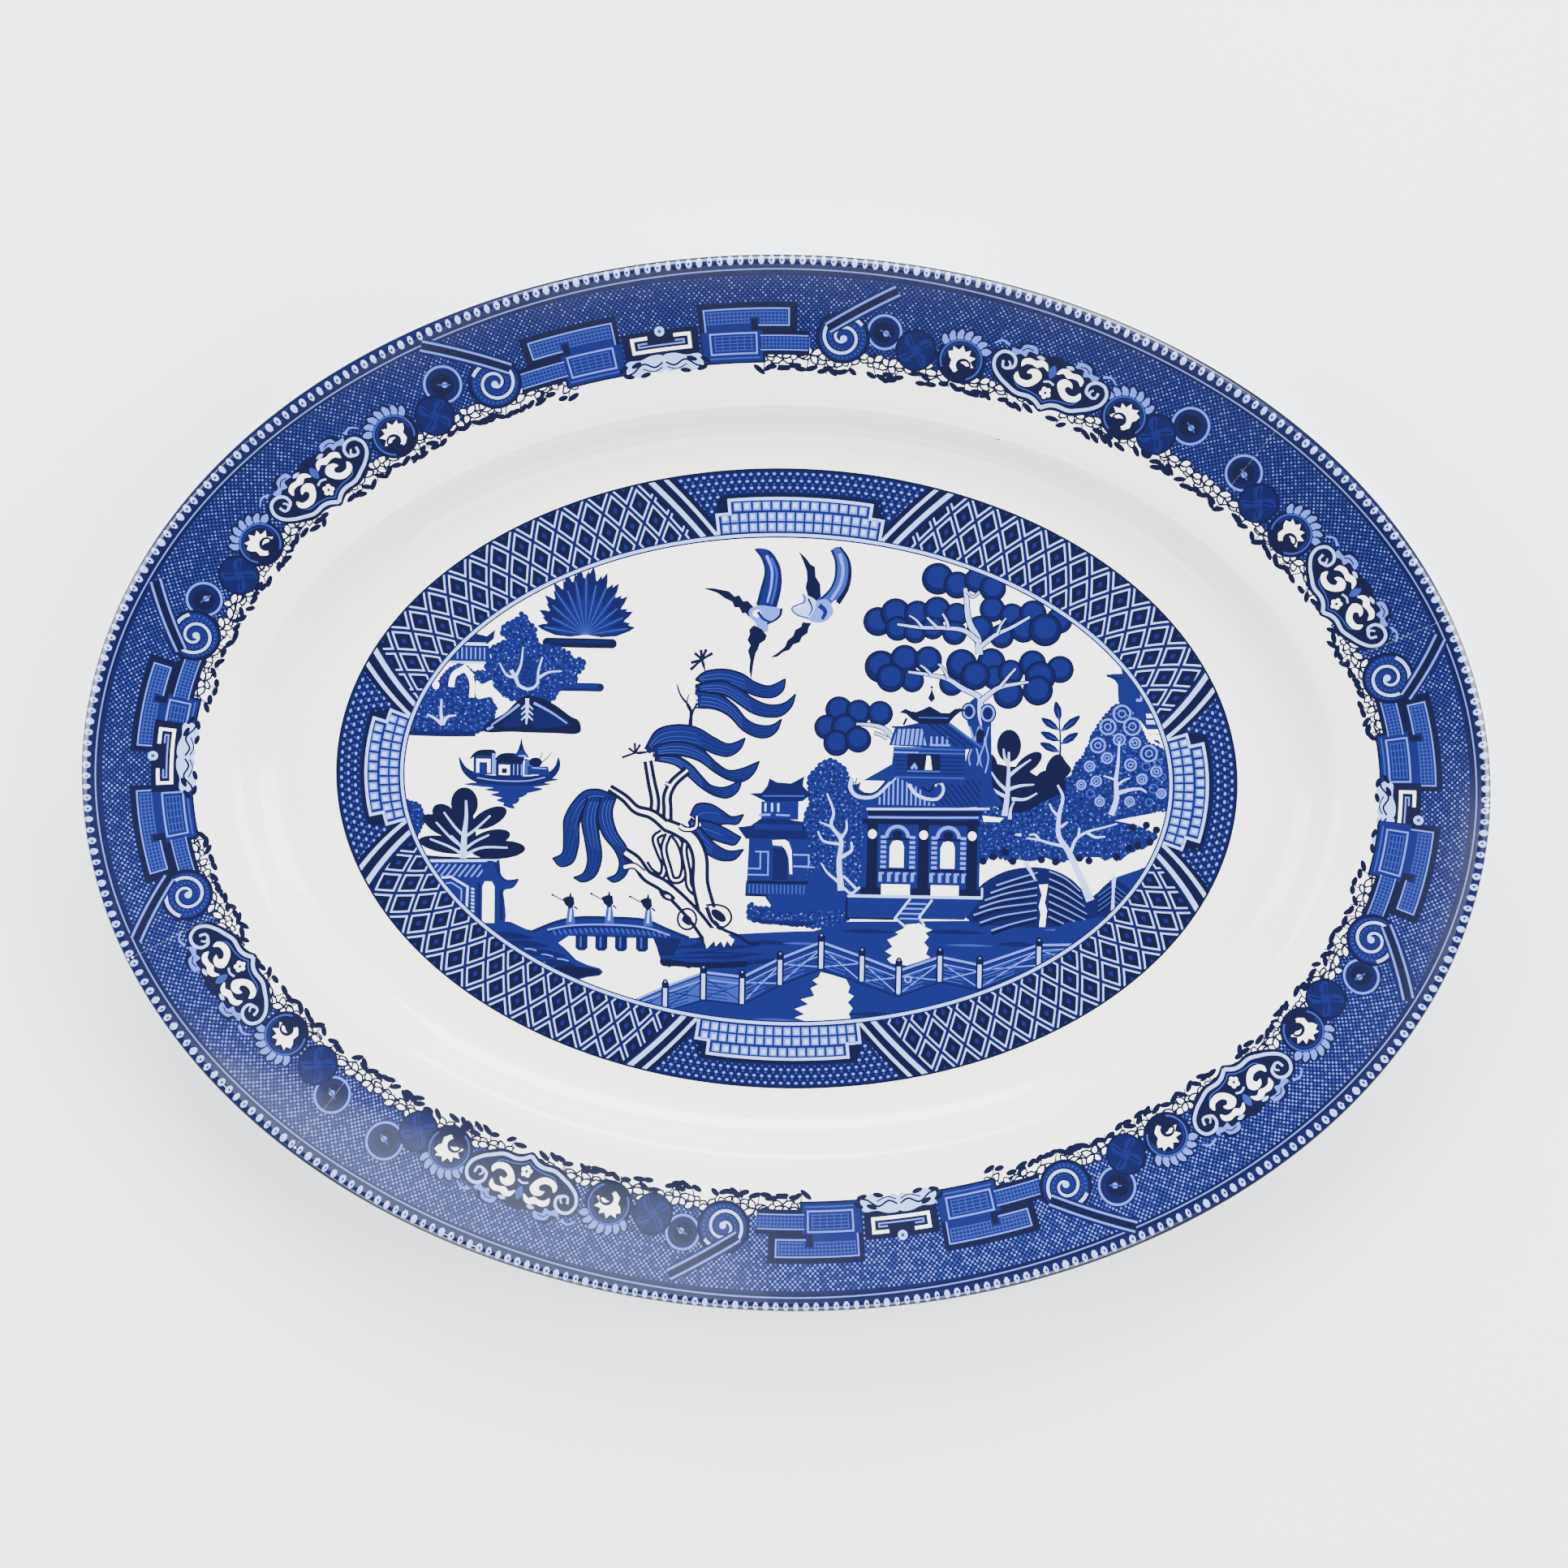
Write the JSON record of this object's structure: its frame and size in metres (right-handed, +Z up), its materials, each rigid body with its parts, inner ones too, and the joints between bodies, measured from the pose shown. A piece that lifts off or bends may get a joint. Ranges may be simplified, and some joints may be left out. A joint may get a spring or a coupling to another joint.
{
  "type": "oval serving platter",
  "caption": "Oval earthenware serving platter with a broad flat rim, a sunken well and a foot ring, printed in blue on rim and well.",
  "frame": {"origin": "middle of the plane that the foot ring stands on", "axes": "+Z up out of the well, +X along the platter's length, +Y across it towards the top of the printed scene"},
  "size_m": [0.356, 0.269, 0.028],
  "materials": {
    "glaze": "clear gloss glaze over an off-white earthenware body",
    "ink": "cobalt blue transfer print under the same gloss glaze"
  },
  "bodies": {
    "root": {"platter_body": "glaze", "border_strip_north": "ink", "border_strip_west": "ink", "border_strip_south": "ink", "border_strip_east": "ink", "centre_print": "ink", "base_mark": "ink"}
  },
  "joints": []
}
